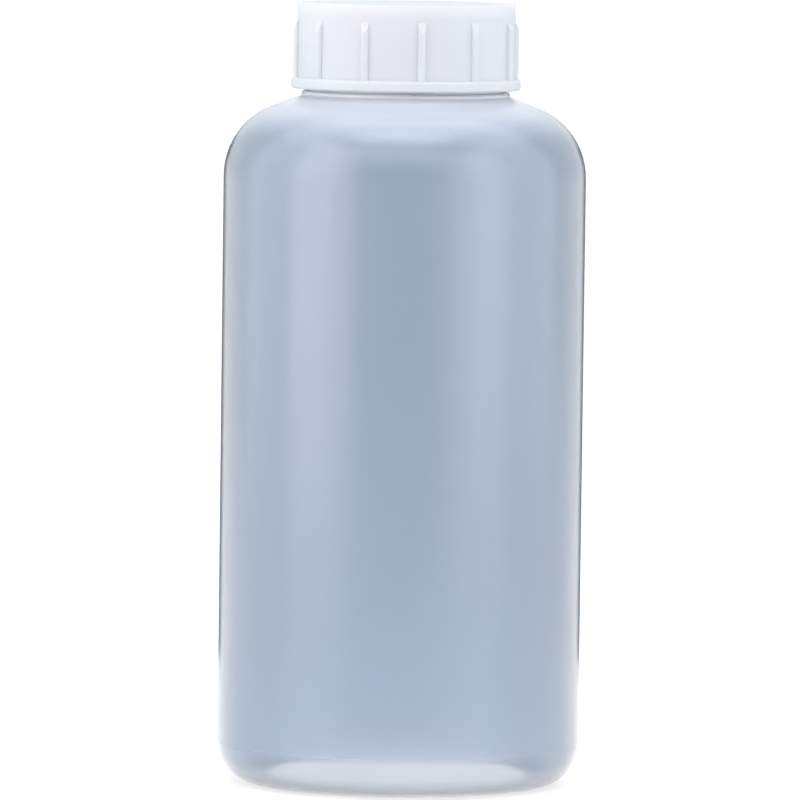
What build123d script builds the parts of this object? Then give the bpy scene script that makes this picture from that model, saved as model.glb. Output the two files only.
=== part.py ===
from build123d import *
from math import asin, degrees, radians, tan
import os

# A wide-mouth reagent bottle of translucent polypropylene, nominal one litre. It comes apart into three
# pieces: the blow-moulded bottle, an inner plug that seals its mouth, and the screw cap that holds the plug.
# Millimetres, +Z up. The origin is the centre of the base, on the surface that the bottle stands on.

# Bottle body
WALL = 1.2
BODY_RADIUS = 47.4
SHOULDER_FOOT_HEIGHT = 159.2
SHOULDER_ROUNDING = 19.4
SHOULDER_SLOPE = 22  # degrees, of the cone between the shoulder's round and the neck
BASE_CORNER = 10.6
STANDING_RING_WIDTH = 3.4
RECESS_STEP = 1.5  # how far the base is pushed up just inside the standing ring
RECESS_CROWN = 1.0  # and how much more at its centre
RECESS_ROUNDING = 1.0
PINCH_LENGTH = 44.0  # the seam across the base where the mould pinched the tube shut
PINCH_WIDTH = 1.2
PINCH_DROP = 0.4

# Neck
BORE_RADIUS = 24.0
NECK_RADIUS = 25.35
COLLAR_RADIUS = 27.15  # the plain ring under the thread, seen between the cap and the shoulder
COLLAR_TOP = 181.6
COLLAR_EDGE = 0.6
COLLAR_ROUNDING = 0.5
LIP_HEIGHT = 201.6
LIP_EDGE = 0.4

# Thread, right-handed, on the neck and in the cap
PITCH = 5.0
THREAD_TURNS = 2
THREAD_DEPTH = 1.2
THREAD_FOOT_WIDTH = 2.4
THREAD_CREST_WIDTH = 1.0
THREAD_ROOT = 0.4  # how deep a ridge is rooted in its wall
THREAD_START = 187.5  # height of the middle of the neck's ridge where it begins
THREAD_OFFSET = 2.0  # the cap's ridge lies this far under the neck's, a little off its flank

# Inner plug
FLANGE_RADIUS = 26.2
FLANGE_THICKNESS = 1.2
FLANGE_EDGE = 0.4
PLUG_RADIUS = 23.7
PLUG_WALL = 1.1
PLUG_DEPTH = 11.5  # below the lip
PLUG_LEAD_IN = 0.9
SEAL_RADIUS = 23.92
SEAL_HEIGHT = 1.6
SEAL_DEPTHS = (3.0, 6.4)  # of the two sealing rings below the lip
GRIP_LENGTH = 30.0
GRIP_THICKNESS = 1.8
GRIP_BELOW_RIM = 1.5
GRIP_EDGE = 0.6

# Screw cap
CAP_TOP = 204.6
CAP_FOOT = 182.2
CEILING = 1.5
BAND_RADIUS = 28.45
SKIRT_FOOT_RADIUS = 28.6
CAP_BORE_RADIUS = 27.0
TOP_EDGE = 0.5
BEAD_RADIUS = 30.0
BEAD_HEIGHT = 2.9
BEAD_UPPER_EDGE = 1.0
BEAD_LOWER_EDGE = 0.6
CAP_LEAD_IN = 0.4
RIB_COUNT = 12
RIB_START = -82  # degrees from +X, of the rib nearest the front
RIB_RADIUS = 29.75
RIB_ROUNDING = 1.0
RIB_SLOPE_FOOT = 197.7
RIB_SLOPE_TOP = 200.3
CATCH_RADIUS = 25.8  # the bead that keeps the plug's flange under the cap's ceiling
CATCH_HEIGHT = 1.2
CATCH_CREST = 0.4
CATCH_GAP = 0.3
PRESS_RING_RADII = (24.3, 25.5)
PRESS_RING_GAP = 0.05
GATE_RADIUS = 2.0
GATE_DEPTH = 0.3


def corner_at(sketch, point):
    """The corner of a sketch nearest to a point."""
    return sketch.vertices().sort_by_distance(Vertex(*point))[0]


def rim_at(part, radius, height):
    """The circular edge of a part at that radius and height."""
    return part.edges().filter_by(GeomType.CIRCLE).sort_by_distance(Vertex(radius, 0, height))[0]


def body_section(inset, neck_radius, neck_top):
    """Half of the bottle's section, drawn inset from its outer surface, up to a straight neck."""
    corner = (BODY_RADIUS - BASE_CORNER, BASE_CORNER)
    shoulder = (BODY_RADIUS - SHOULDER_ROUNDING, SHOULDER_FOOT_HEIGHT)
    ring_inner = (corner[0] - STANDING_RING_WIDTH, inset)
    recess_radius = ring_inner[0] - RECESS_STEP
    crown_height = inset + RECESS_STEP + RECESS_CROWN
    dome_radius = (recess_radius**2 + RECESS_CROWN**2) / (2 * RECESS_CROWN)
    dome_span = degrees(asin(recess_radius / dome_radius))
    with BuildSketch(Plane.XZ) as section:
        with BuildLine():
            turn = CenterArc(corner, BASE_CORNER - inset, 270, 90)
            top_round = CenterArc(shoulder, SHOULDER_ROUNDING - inset, 0, 90 - SHOULDER_SLOPE)
            edge = top_round @ 1
            cone_rise = (edge.X - neck_radius) * tan(radians(SHOULDER_SLOPE))
            neck_foot = (neck_radius, edge.Y + cone_rise)
            dome = CenterArc((0, crown_height - dome_radius), dome_radius, 90 - dome_span, dome_span)
            Polyline(dome @ 0, ring_inner, turn @ 0)
            Line(turn @ 1, top_round @ 0)
            Polyline(edge, neck_foot, (neck_radius, neck_top), (0, neck_top), (0, crown_height))
        make_face()
        fillet(corner_at(section, neck_foot), COLLAR_ROUNDING + inset)
        fillet([corner_at(section, dome @ 0), corner_at(section, ring_inner)], RECESS_ROUNDING)
    return section.sketch


def thread_ridge(foot_radius, crest_radius, start_height):
    """One helical ridge, a trapezium in section, with each end rounded off."""
    outward = 1 if crest_radius > foot_radius else -1
    root = foot_radius - outward * THREAD_ROOT
    slope = (THREAD_FOOT_WIDTH - THREAD_CREST_WIDTH) / (2 * THREAD_DEPTH)
    half_root = THREAD_FOOT_WIDTH / 2 + slope * THREAD_ROOT
    half_crest = THREAD_CREST_WIDTH / 2
    rise = THREAD_TURNS * PITCH
    with BuildPart() as ridge:
        with BuildLine() as path:
            Helix(PITCH, rise, root)
        with BuildSketch(Plane.XZ):
            with BuildLine():
                upper = Polyline((root, 0), (root, half_root), (crest_radius, half_crest), (crest_radius, 0))
                mirror(upper, about=Plane.XZ)
            make_face()
        sweep(path=path.wires()[0], is_frenet=True)
        for height, turn in ((0, 180), (rise, -180)):
            with BuildSketch(Plane.XZ):
                with BuildLine():
                    Polyline(
                        (root, height),
                        (root, height + half_root),
                        (crest_radius, height + half_crest),
                        (crest_radius, height),
                        close=True,
                    )
                make_face()
            revolve(axis=Axis((0, 0, height), (1, 0, 0)), revolution_arc=turn)
    return Pos(0, 0, start_height) * ridge.part


# Bottle
neck_ridge = thread_ridge(NECK_RADIUS, NECK_RADIUS + THREAD_DEPTH, THREAD_START)

with BuildPart() as bottle:
    add(body_section(0, COLLAR_RADIUS, COLLAR_TOP))
    revolve(axis=Axis.Z)
    fillet(rim_at(bottle, COLLAR_RADIUS, COLLAR_TOP), COLLAR_EDGE)
    with BuildSketch(Plane.XY.offset(COLLAR_TOP)):
        Circle(NECK_RADIUS)
    extrude(amount=LIP_HEIGHT - COLLAR_TOP)
    fillet(rim_at(bottle, NECK_RADIUS, LIP_HEIGHT), LIP_EDGE)
    add(neck_ridge)
    with BuildSketch(Plane.XY.offset(RECESS_STEP - PINCH_DROP)):
        SlotOverall(PINCH_LENGTH, PINCH_WIDTH)
    extrude(amount=PINCH_DROP + WALL)
    add(body_section(WALL, BORE_RADIUS, LIP_HEIGHT))
    revolve(axis=Axis.Z, mode=Mode.SUBTRACT)
    fillet(rim_at(bottle, BORE_RADIUS, LIP_HEIGHT), LIP_EDGE)
bottle.part.label = "bottle"

# Inner plug, pushed into the mouth up to its flange
flange_top = LIP_HEIGHT + FLANGE_THICKNESS
plug_foot = LIP_HEIGHT - PLUG_DEPTH
plug_inner = PLUG_RADIUS - PLUG_WALL

with BuildPart() as inner_plug:
    with BuildSketch(Plane.XZ) as cup:
        with BuildLine():
            Polyline(
                (0, plug_foot),
                (PLUG_RADIUS, plug_foot),
                (PLUG_RADIUS, LIP_HEIGHT),
                (FLANGE_RADIUS, LIP_HEIGHT),
                (FLANGE_RADIUS, flange_top),
                (plug_inner, flange_top),
                (plug_inner, plug_foot + PLUG_WALL),
                (0, plug_foot + PLUG_WALL),
                close=True,
            )
        make_face()
        fillet(corner_at(cup, (PLUG_RADIUS, plug_foot)), PLUG_LEAD_IN)
        fillet(corner_at(cup, (plug_inner, plug_foot + PLUG_WALL)), PLUG_LEAD_IN)
        fillet(corner_at(cup, (plug_inner, flange_top)), FLANGE_EDGE)
        fillet(corner_at(cup, (FLANGE_RADIUS, flange_top)), FLANGE_EDGE)
    revolve(axis=Axis.Z)
    for depth in SEAL_DEPTHS:
        middle = LIP_HEIGHT - depth
        with BuildSketch(Plane.XZ):
            with BuildLine():
                low = (PLUG_RADIUS, middle - SEAL_HEIGHT / 2)
                high = (PLUG_RADIUS, middle + SEAL_HEIGHT / 2)
                ThreePointArc(low, (SEAL_RADIUS, middle), high)
                inner = PLUG_RADIUS - PLUG_WALL / 2
                Polyline(high, (inner, high[1]), (inner, low[1]), low)
            make_face()
        revolve(axis=Axis.Z)
    with BuildSketch(Plane.XY.offset(plug_foot + PLUG_WALL / 2)):
        SlotOverall(GRIP_LENGTH, GRIP_THICKNESS)
    grip_top = flange_top - GRIP_BELOW_RIM
    extrude(amount=grip_top - plug_foot - PLUG_WALL / 2)
    grip_face = inner_plug.faces().filter_by(Axis.Z).sort_by_distance(Vertex(0, 0, grip_top))[0]
    fillet(grip_face.edges(), GRIP_EDGE)
inner_plug.part.label = "inner_plug"

# Screw cap
ceiling = CAP_TOP - CEILING
bead_top = CAP_FOOT + BEAD_HEIGHT
cap_ridge = thread_ridge(CAP_BORE_RADIUS, CAP_BORE_RADIUS - THREAD_DEPTH, THREAD_START - THREAD_OFFSET)

with BuildPart() as grip_ribs:
    with BuildSketch(Plane.XY.offset(bead_top - BEAD_HEIGHT / 2)):
        with PolarLocations(RIB_RADIUS - RIB_ROUNDING, RIB_COUNT, RIB_START):
            Circle(RIB_ROUNDING)
    extrude(amount=RIB_SLOPE_TOP - bead_top + BEAD_HEIGHT / 2)
    with BuildSketch(Plane.XZ):
        with BuildLine():
            Polyline(
                (0, CAP_FOOT),
                (RIB_RADIUS, CAP_FOOT),
                (RIB_RADIUS, RIB_SLOPE_FOOT),
                (BAND_RADIUS, RIB_SLOPE_TOP),
                (0, RIB_SLOPE_TOP),
                close=True,
            )
        make_face()
    revolve(axis=Axis.Z, mode=Mode.INTERSECT)

with BuildPart() as screw_cap:
    with BuildSketch(Plane.XZ) as shell:
        with BuildLine():
            Polyline(
                (0, CAP_TOP),
                (BAND_RADIUS, CAP_TOP),
                (SKIRT_FOOT_RADIUS, bead_top),
                (BEAD_RADIUS, bead_top),
                (BEAD_RADIUS, CAP_FOOT),
                (CAP_BORE_RADIUS, CAP_FOOT),
                (CAP_BORE_RADIUS, ceiling),
                (0, ceiling),
                close=True,
            )
        make_face()
        fillet(corner_at(shell, (BAND_RADIUS, CAP_TOP)), TOP_EDGE)
        fillet(corner_at(shell, (BEAD_RADIUS, bead_top)), BEAD_UPPER_EDGE)
        fillet(corner_at(shell, (BEAD_RADIUS, CAP_FOOT)), BEAD_LOWER_EDGE)
        chamfer(corner_at(shell, (CAP_BORE_RADIUS, CAP_FOOT)), CAP_LEAD_IN)
    revolve(axis=Axis.Z)
    add(grip_ribs.part)
    add(cap_ridge)
    with BuildSketch(Plane.XZ):
        with BuildLine():
            catch_top = LIP_HEIGHT - CATCH_GAP
            catch_middle = catch_top - CATCH_HEIGHT / 2
            Polyline(
                (CAP_BORE_RADIUS + CATCH_CREST, catch_top),
                (CATCH_RADIUS, catch_middle + CATCH_CREST / 2),
                (CATCH_RADIUS, catch_middle - CATCH_CREST / 2),
                (CAP_BORE_RADIUS + CATCH_CREST, catch_top - CATCH_HEIGHT),
                close=True,
            )
        make_face()
    revolve(axis=Axis.Z)
    with BuildSketch(Plane.XY.offset(flange_top + PRESS_RING_GAP)):
        Circle(PRESS_RING_RADII[1])
        Circle(PRESS_RING_RADII[0], mode=Mode.SUBTRACT)
    extrude(until=Until.NEXT)
    with BuildSketch(Plane.XY.offset(CAP_TOP)):
        Circle(GATE_RADIUS)
    extrude(amount=-GATE_DEPTH, mode=Mode.SUBTRACT)
screw_cap.part.label = "screw_cap"

os.makedirs("parts", exist_ok=True)
export_step(bottle.part, "parts/bottle.step")
export_step(inner_plug.part, "parts/inner_plug.step")
export_step(screw_cap.part, "parts/screw_cap.step")
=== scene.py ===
import bpy
import math
from mathutils import Matrix

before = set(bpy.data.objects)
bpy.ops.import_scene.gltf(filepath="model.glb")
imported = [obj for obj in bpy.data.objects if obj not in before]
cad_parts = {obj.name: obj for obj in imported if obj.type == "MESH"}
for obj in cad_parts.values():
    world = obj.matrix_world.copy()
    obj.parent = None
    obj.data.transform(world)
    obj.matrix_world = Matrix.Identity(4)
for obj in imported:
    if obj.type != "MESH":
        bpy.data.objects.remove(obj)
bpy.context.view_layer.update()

scene = bpy.context.scene
scene.view_settings.view_transform = "Standard"

WHITE = (1.0, 1.0, 1.0)

# The bottle's zones, in metres: heights above the floor and radii from its axis. Each pair says
# where a change begins and where it is complete.
RING_HEIGHTS = (0.002, 0.006)      # the standing ring's painted light fades upwards: it is whitened and a little milky
BASE_HEIGHTS = (0.006, 0.010)      # the pushed-up base lies below these heights
BASE_RADII = (0.033, 0.036)        # and inside these radii
FOOT_HEIGHTS = (0.0085, 0.0115)    # the glossier foot of the wall turns into the matter body
BODY_HEIGHTS = (0.015, 0.050)      # the body's own unevenness comes in
NECK_HEIGHTS = (0.168, 0.182)      # the thick, whiter plastic of the shoulder's top and the neck
# The collar is painted paler than the neck: painted light that lifts the shade cast by the cap's
# bead.
COLLAR_HEIGHTS = (0.1785, 0.1795)  # the plain ring between the shoulder and the thread
COLLAR_RADII = (0.0265, 0.0270)    # which stands out further than the thread
SEAM_REACH = 0.0005                # how far the mould's parting line fades out to either side

# The bottle's plastic
BOTTLE_COLOUR = (0.48, 0.575, 0.675)
THIN_COLOUR = (0.51, 0.60, 0.70)   # where the wall is a little thinner
NECK_COLOUR = (0.80, 0.845, 0.89)
# Painted light: the collar's paler colour stands in for light in the shade under the cap's bead
COLLAR_PAINTED_LIGHT = (0.92, 0.96, 1.0)
BASE_COLOUR = (0.97, 0.98, 0.99)
BODY_CLEAR = 0.88                  # share of the light that goes through instead of being spread
NECK_CLEAR = 0.5
BASE_CLEAR = 0.95
FOOT_ROUGHNESS = 0.12
BODY_ROUGHNESS = 0.30
UNEVEN_ROUGHNESS = 0.05            # added to the body's in slow patches
BASE_ROUGHNESS = 0.8
RING_PAINTED_LIGHT_AND_MILK = 0.15                   # how much of the base's look the standing ring has: the whiter colour is painted light lifting the shade at the foot, the translucency is real
BASE_SPREAD = 0.85                 # share of translucent in the base
COAT_ROUGHNESS = 0.2
PLASTIC_IOR = 1.49

# The cap's and the plug's plastic
CAP_COLOUR = (0.75, 0.775, 0.79)
CAP_PALE = (0.77, 0.795, 0.81)
PLUG_COLOUR = (0.90, 0.92, 0.94)
ROUGHNESS_SPREAD = 0.04            # either side of the mean
TRANSLUCENT_SHARE = 0.3

# Noise textures: scale and detail
BOTTLE_FLOW = (22.0, 2.0)
BOTTLE_GRAIN = (350.0, 2.0)
MILKY_FLOW = (30.0, 2.0)
MILKY_GRAIN = (1400.0, 3.0)
FLOW_RANGE = (0.3, 0.7)            # most of a noise's values lie in it

# Bumps: strength and height in metres
WAVE_BUMP = (0.1, 0.001)
BOTTLE_GRAIN_BUMP = (0.06, 0.00005)
MILKY_GRAIN_BUMP = (0.2, 0.00005)
SEAM_BUMP = (0.6, 0.00012)

# The studio, in metres
FLOOR_HALF = 60.0
FLOOR_GREY = (0.4, 0.4, 0.4)
FLOOR_GLOW = (1.0, 0.976, 0.952)   # with the sky's light, it makes the floor white
FLOOR_GLOW_STRENGTH = 0.643
SKY = (0.92, 0.96, 1.0)
SKY_STRENGTH = 0.97
FLAG_BLACK = (0.02, 0.02, 0.02)
FLAG_DISTANCE = 0.35
FLAG_TOP = 0.2
FLAGS = {"flag_left": (188, 208), "flag_right": (152, 172)}  # azimuths of their two ends

WARM = (1.0, 0.80, 0.80)
COOL = (0.82, 0.91, 1.0)
TOP_TINT = (0.88, 0.90, 0.97)
UNDER_TINT = (1.0, 0.73, 0.50)

# Softboxes: azimuth from the camera's side and elevation in degrees, distance, width, height,
# brightness, height of the point on the axis that they face, tint
SOFTBOXES = {
    "left": (-53, 0, 1.0, 0.8, 1.4, 1.65, 0.7, WARM),
    "left_wrap": (-80, 0, 1.15, 1.6, 1.5, 1.1, 0.75, COOL),
    "right": (47, 0, 1.0, 0.72, 1.1, 1.2, 0.55, WARM),
    "right_wrap": (76, 0, 1.15, 1.5, 1.5, 1.15, 0.75, COOL),
    "front_high": (0, 44, 1.2, 0.9, 0.5, 0.85, 0.1, WHITE),
    "overhead": (-4, 72, 1.2, 0.8, 0.5, 1.8, 0.1, TOP_TINT),
    "top": (0, 92, 1.3, 2.6, 1.1, 1.2, 0.1, TOP_TINT),
}
UNDER_DIAMETER = 0.078             # the disc of light under the base, just above the floor
UNDER_HEIGHT = 0.0004
UNDER_STRENGTH = 0.75

CAMERA_PLACE = (-0.00052, -2.403, 0.2671)
CAMERA_DOWN = 3.964                # degrees
CAMERA_ROLL = 0.72                 # degrees
CAMERA_LENS = 413.5
CAMERA_SENSOR = 36.0
CAMERA_CLIP = (0.05, 200.0)

# A Mix node's colour sockets: two inputs and one output
MIX_FIRST, MIX_SECOND, MIX_RESULT = 6, 7, 2


def rgba(colour):
    return (*colour, 1.0)


class Nodes:
    """A new material and short ways to fill its node tree."""

    def __init__(self, name):
        self.material = bpy.data.materials.new(name)
        self.material.use_nodes = True
        self.tree = self.material.node_tree
        self.tree.nodes.clear()
        self.output = self.add("ShaderNodeOutputMaterial")

    def add(self, kind, inputs=(), **settings):
        node = self.tree.nodes.new(kind)
        for key, value in settings.items():
            setattr(node, key, value)
        for key, value in dict(inputs).items():
            self.put(node.inputs[key], value)
        return node

    def put(self, socket, value):
        """The value set on the socket, or the output linked to it."""
        if isinstance(value, bpy.types.NodeSocket):
            self.tree.links.new(value, socket)
        else:
            socket.default_value = value

    def position(self):
        return self.add("ShaderNodeTexCoord").outputs["Object"]

    def noise(self, coords, scale, detail):
        inputs = {"Vector": coords, "Scale": scale, "Detail": detail}
        return self.add("ShaderNodeTexNoise", inputs).outputs["Fac"]

    def remap(self, value, source=(0.0, 1.0), target=(0.0, 1.0), smooth=False):
        """The value carried from the source range to the target range, clamped."""
        kind = "SMOOTHSTEP" if smooth else "LINEAR"
        inputs = {
            "Value": value,
            "From Min": source[0],
            "From Max": source[1],
            "To Min": target[0],
            "To Max": target[1],
        }
        return self.add("ShaderNodeMapRange", inputs, interpolation_type=kind).outputs["Result"]

    def math(self, operation, *values):
        inputs = dict(enumerate(values))
        return self.add("ShaderNodeMath", inputs, operation=operation).outputs["Value"]

    def colours(self, factor, first, second):
        """A mix of two colours, each a plain colour or another mix."""
        node = self.add("ShaderNodeMix", {"Factor": factor}, data_type="RGBA")
        for index, colour in ((MIX_FIRST, first), (MIX_SECOND, second)):
            self.put(node.inputs[index], rgba(colour) if isinstance(colour, tuple) else colour)
        return node.outputs[MIX_RESULT]

    def bump(self, height, strength, distance, over=None):
        """A bump's normal, on top of another bump's where one is given."""
        inputs = {"Height": height, "Strength": strength, "Distance": distance}
        if over is not None:
            inputs["Normal"] = over
        return self.add("ShaderNodeBump", inputs).outputs["Normal"]

    def blend(self, factor, first, second):
        inputs = {0: factor, 1: first.outputs["BSDF"], 2: second.outputs["BSDF"]}
        return self.add("ShaderNodeMixShader", inputs)

    def finish(self, shader):
        self.put(self.output.inputs["Surface"], shader.outputs[0])
        return self.material


def bottle_plastic():
    """Blow-moulded polypropylene: bluish, translucent, with a soft gloss and a thick pale neck;
    the collar and the standing ring are painted lighter, as painted light that lifts their shade.
    """
    n = Nodes("bottle_plastic")
    coords = n.position()
    axes = n.add("ShaderNodeSeparateXYZ", {"Vector": coords})
    height = axes.outputs["Z"]
    level = n.add("ShaderNodeVectorMath", {0: coords, 1: (1.0, 1.0, 0.0)}, operation="MULTIPLY")
    length = n.add("ShaderNodeVectorMath", {0: level.outputs["Vector"]}, operation="LENGTH")
    radius = length.outputs["Value"]
    flow = n.noise(coords, *BOTTLE_FLOW)

    neck = n.remap(height, NECK_HEIGHTS, smooth=True)
    low = n.remap(height, BASE_HEIGHTS, (1.0, 0.0), smooth=True)
    inner = n.remap(radius, BASE_RADII, (1.0, 0.0), smooth=True)
    # The standing ring takes some of the base's whiter colour: painted light lifting the shade
    # where the foot meets the floor.
    ring = n.remap(height, RING_HEIGHTS, (RING_PAINTED_LIGHT_AND_MILK, 0.0), smooth=True)
    base = n.math("MAXIMUM", n.math("MULTIPLY", low, inner), ring)
    # where the collar is painted paler, as painted light lifting the shade under the cap's bead
    lit_collar = n.math("MULTIPLY", n.remap(radius, COLLAR_RADII), n.remap(height, COLLAR_HEIGHTS))

    body_colour = n.colours(n.remap(flow, FLOW_RANGE), BOTTLE_COLOUR, THIN_COLOUR)
    neck_and_lit_collar = n.colours(lit_collar, NECK_COLOUR, COLLAR_PAINTED_LIGHT)
    colour = n.colours(base, n.colours(neck, body_colour, neck_and_lit_collar), BASE_COLOUR)

    wall_clear = n.remap(neck, target=(BODY_CLEAR, NECK_CLEAR))
    clear = n.remap(base, target=(wall_clear, BASE_CLEAR))

    wall_rough = n.remap(height, FOOT_HEIGHTS, (FOOT_ROUGHNESS, BODY_ROUGHNESS), smooth=True)
    patches = n.remap(flow, FLOW_RANGE, (0.0, UNEVEN_ROUGHNESS))
    uneven = n.math("MULTIPLY", patches, n.remap(height, BODY_HEIGHTS))
    rough = n.remap(base, target=(n.math("ADD", wall_rough, uneven), BASE_ROUGHNESS))

    aside = n.math("ABSOLUTE", axes.outputs["Y"])
    seam = n.remap(aside, (0.0, SEAM_REACH), (1.0, 0.0), smooth=True)
    waves = n.bump(flow, *WAVE_BUMP)
    grain = n.bump(n.noise(coords, *BOTTLE_GRAIN), *BOTTLE_GRAIN_BUMP, over=waves)
    surface = n.add("ShaderNodeBsdfPrincipled", {
        "Base Color": colour,
        "Roughness": rough,
        "IOR": PLASTIC_IOR,
        "Transmission Weight": clear,
        "Coat Weight": 1.0,
        "Coat Roughness": COAT_ROUGHNESS,
        "Normal": n.bump(seam, *SEAM_BUMP, over=grain),
    })
    spread = n.add("ShaderNodeBsdfTranslucent", {"Color": colour})
    return n.finish(n.blend(n.math("MULTIPLY", base, BASE_SPREAD), surface, spread))


def milky_plastic(name, colour, pale, specular, roughness, transmission):
    """Injection-moulded plastic that lets light through and spreads it."""
    n = Nodes(name)
    coords = n.position()
    flow = n.noise(coords, *MILKY_FLOW)
    tint = n.colours(n.remap(flow, FLOW_RANGE), colour, pale)
    roughnesses = (roughness - ROUGHNESS_SPREAD, roughness + ROUGHNESS_SPREAD)
    waves = n.bump(flow, *WAVE_BUMP)
    grain = n.bump(n.noise(coords, *MILKY_GRAIN), *MILKY_GRAIN_BUMP, over=waves)
    surface = n.add("ShaderNodeBsdfPrincipled", {
        "Base Color": tint,
        "Roughness": n.remap(flow, FLOW_RANGE, roughnesses),
        "IOR": PLASTIC_IOR,
        "Specular IOR Level": specular,
        "Transmission Weight": transmission,
        "Normal": grain,
    })
    spread = n.add("ShaderNodeBsdfTranslucent", {"Color": tint, "Normal": grain})
    return n.finish(n.blend(TRANSLUCENT_SHARE, surface, spread))


def cap_plastic():
    return milky_plastic(
        "cap_plastic", CAP_COLOUR, CAP_PALE, specular=0.3, roughness=0.5, transmission=0.3
    )


def plug_plastic():
    return milky_plastic(
        "plug_plastic", PLUG_COLOUR, WHITE, specular=0.5, roughness=0.4, transmission=0.3
    )


def floor_paint():
    n = Nodes("studio_floor")
    return n.finish(n.add("ShaderNodeBsdfPrincipled", {
        "Base Color": rgba(FLOOR_GREY),
        "Roughness": 0.8,
        "Specular IOR Level": 0.2,
        "Emission Color": rgba(FLOOR_GLOW),
        "Emission Strength": FLOOR_GLOW_STRENGTH,
    }))


def flag_cloth():
    n = Nodes("flag_cloth")
    return n.finish(n.add("ShaderNodeBsdfPrincipled", {
        "Base Color": rgba(FLAG_BLACK),
        "Roughness": 0.9,
        "Specular IOR Level": 0.0,
    }))


def dress(node, material):
    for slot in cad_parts[node].material_slots:
        slot.material = material


def stage_quad(name, corners, material):
    """A flat four-cornered piece of the studio, which isn't part of the object."""
    mesh = bpy.data.meshes.new(name)
    mesh.from_pydata(corners, [], [(0, 1, 2, 3)])
    mesh.materials.append(material)
    quad = bpy.data.objects.new(name, mesh)
    scene.collection.objects.link(quad)
    return quad


def floor():
    half = FLOOR_HALF
    corners = [(-half, -half, 0), (half, -half, 0), (half, half, 0), (-half, half, 0)]
    stage_quad("floor", corners, floor_paint())


def flag(name, azimuths, material):
    """A black card behind the object, which draws the thin dark edge of a clear one."""
    (x0, y0), (x1, y1) = [
        (FLAG_DISTANCE * math.sin(a), -FLAG_DISTANCE * math.cos(a))
        for a in map(math.radians, azimuths)
    ]
    corners = [(x0, y0, 0), (x1, y1, 0), (x1, y1, FLAG_TOP), (x0, y0, FLAG_TOP)]
    card = stage_quad(name, corners, material)
    card.visible_camera = False
    card.visible_diffuse = False
    card.visible_shadow = False


def flags():
    cloth = flag_cloth()
    for name, azimuths in FLAGS.items():
        flag(name, azimuths, cloth)


def area_light(name, shape, size, height, strength, tint, placement):
    """A hidden area light; its strength is the brightness of its face."""
    light = bpy.data.lights.new(name, "AREA")
    light.shape = shape
    light.size = size
    light.size_y = height
    area = math.pi * size * size / 4 if shape == "DISK" else size * height
    light.energy = strength * math.pi * area
    light.color = tint
    lamp = bpy.data.objects.new(name, light)
    lamp.matrix_world = placement
    lamp.visible_camera = False
    scene.collection.objects.link(lamp)


def softbox(name, azimuth, elevation, distance, width, height, strength, aim, tint):
    """A rectangular light at that azimuth from the camera's side, facing the axis at aim."""
    a, e = math.radians(azimuth), math.radians(elevation)
    reach = distance * math.cos(e)
    place = (reach * math.sin(a), -reach * math.cos(a), distance * math.sin(e) + aim)
    turn = Matrix.Rotation(a, 4, "Z") @ Matrix.Rotation(math.pi / 2 - e, 4, "X")
    area_light(name, "RECTANGLE", width, height, strength, tint, Matrix.Translation(place) @ turn)


def lights():
    for name, values in SOFTBOXES.items():
        softbox(name, *values)
    place = Matrix.Translation((0, 0, UNDER_HEIGHT))
    facing_up = Matrix.Rotation(math.pi, 4, "X")
    size = UNDER_DIAMETER
    area_light("under", "DISK", size, size, UNDER_STRENGTH, UNDER_TINT, place @ facing_up)


def backdrop():
    """White where the camera sees it, slightly dimmer and bluer as a source of light."""
    world = bpy.data.worlds.new("studio")
    world.use_nodes = True
    tree = world.node_tree
    tree.nodes.clear()
    output = tree.nodes.new("ShaderNodeOutputWorld")
    mix = tree.nodes.new("ShaderNodeMixShader")
    path = tree.nodes.new("ShaderNodeLightPath")
    tree.links.new(path.outputs["Is Camera Ray"], mix.inputs[0])
    for index, colour, strength in ((1, SKY, SKY_STRENGTH), (2, WHITE, 1.0)):
        background = tree.nodes.new("ShaderNodeBackground")
        background.inputs["Color"].default_value = rgba(colour)
        background.inputs["Strength"].default_value = strength
        tree.links.new(background.outputs[0], mix.inputs[index])
    tree.links.new(mix.outputs[0], output.inputs["Surface"])
    scene.world = world


def camera():
    """A long lens 2.4 m away, looking slightly down, with a small roll."""
    data = bpy.data.cameras.new("camera")
    data.lens = CAMERA_LENS
    data.sensor_width = CAMERA_SENSOR
    data.clip_start, data.clip_end = CAMERA_CLIP
    view = bpy.data.objects.new("camera", data)
    pitch = Matrix.Rotation(math.radians(90 - CAMERA_DOWN), 4, "X")
    roll = Matrix.Rotation(math.radians(CAMERA_ROLL), 4, "Z")
    view.matrix_world = Matrix.Translation(CAMERA_PLACE) @ pitch @ roll
    scene.collection.objects.link(view)
    scene.camera = view


dress("bottle", bottle_plastic())
dress("screw_cap", cap_plastic())
dress("inner_plug", plug_plastic())
floor()
flags()
lights()
backdrop()
camera()
